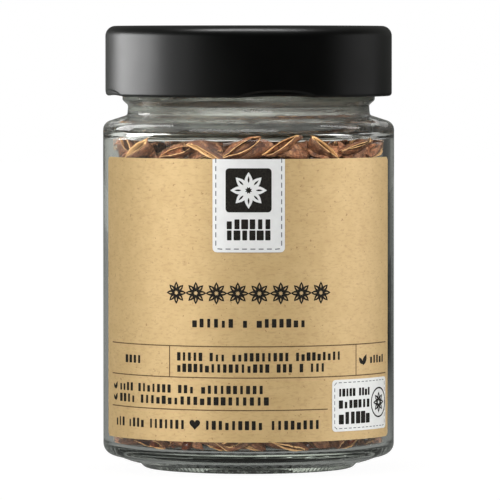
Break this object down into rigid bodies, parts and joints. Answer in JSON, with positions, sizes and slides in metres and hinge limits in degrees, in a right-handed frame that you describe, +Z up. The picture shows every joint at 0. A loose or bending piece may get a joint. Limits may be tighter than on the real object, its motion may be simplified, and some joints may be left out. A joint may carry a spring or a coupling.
{
  "type": "spice jar of star anise",
  "caption": "Shut clear glass spice jar with a deep black twist-off lid and a wrap-round kraft label, filled with whole star anise.",
  "frame": {"origin": "middle of the foot of the jar, on the surface that it stands on", "axes": "+Z up the axis of the jar, -Y out of the middle of the label, +X to the right when facing the label"},
  "size_m": [0.075, 0.0754, 0.1137],
  "materials": {
    "jar_glass": "gloss",
    "jar_lid": "satin",
    "lid_seal": "matte",
    "label": "matte",
    "label_tag": "matte",
    "label_sticker": "matte",
    "star_anise_heap": "matte"
  },
  "bodies": {
    "root": {"jar_glass": "jar_glass", "jar_lid": "jar_lid", "lid_seal": "lid_seal", "label": "label", "label_tag": "label_tag", "label_sticker": "label_sticker", "star_anise_heap": "star_anise_heap"}
  },
  "joints": []
}
